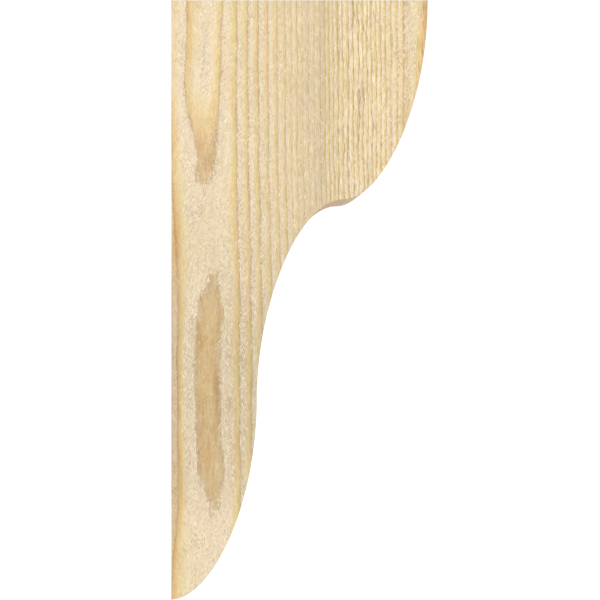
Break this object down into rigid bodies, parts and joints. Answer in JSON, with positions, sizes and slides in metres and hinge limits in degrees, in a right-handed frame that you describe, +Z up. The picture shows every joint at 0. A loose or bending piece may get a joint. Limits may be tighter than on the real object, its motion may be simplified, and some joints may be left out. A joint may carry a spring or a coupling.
{
  "type": "wooden corbel bracket",
  "caption": "Solid rough-sawn softwood corbel with a flat wall face, a flat top and a double-curved front profile.",
  "frame": {"origin": "top edge of the wall face, half-way across the thickness, where the wall meets the soffit", "axes": "+X straight out from the wall, +Y across the thickness, +Z up along the grain"},
  "size_m": [0.3048, 0.0888, 0.7112],
  "materials": {
    "timber": "bare rough-sawn softwood, matt"
  },
  "bodies": {
    "root": {"corbel": "timber"}
  },
  "joints": []
}
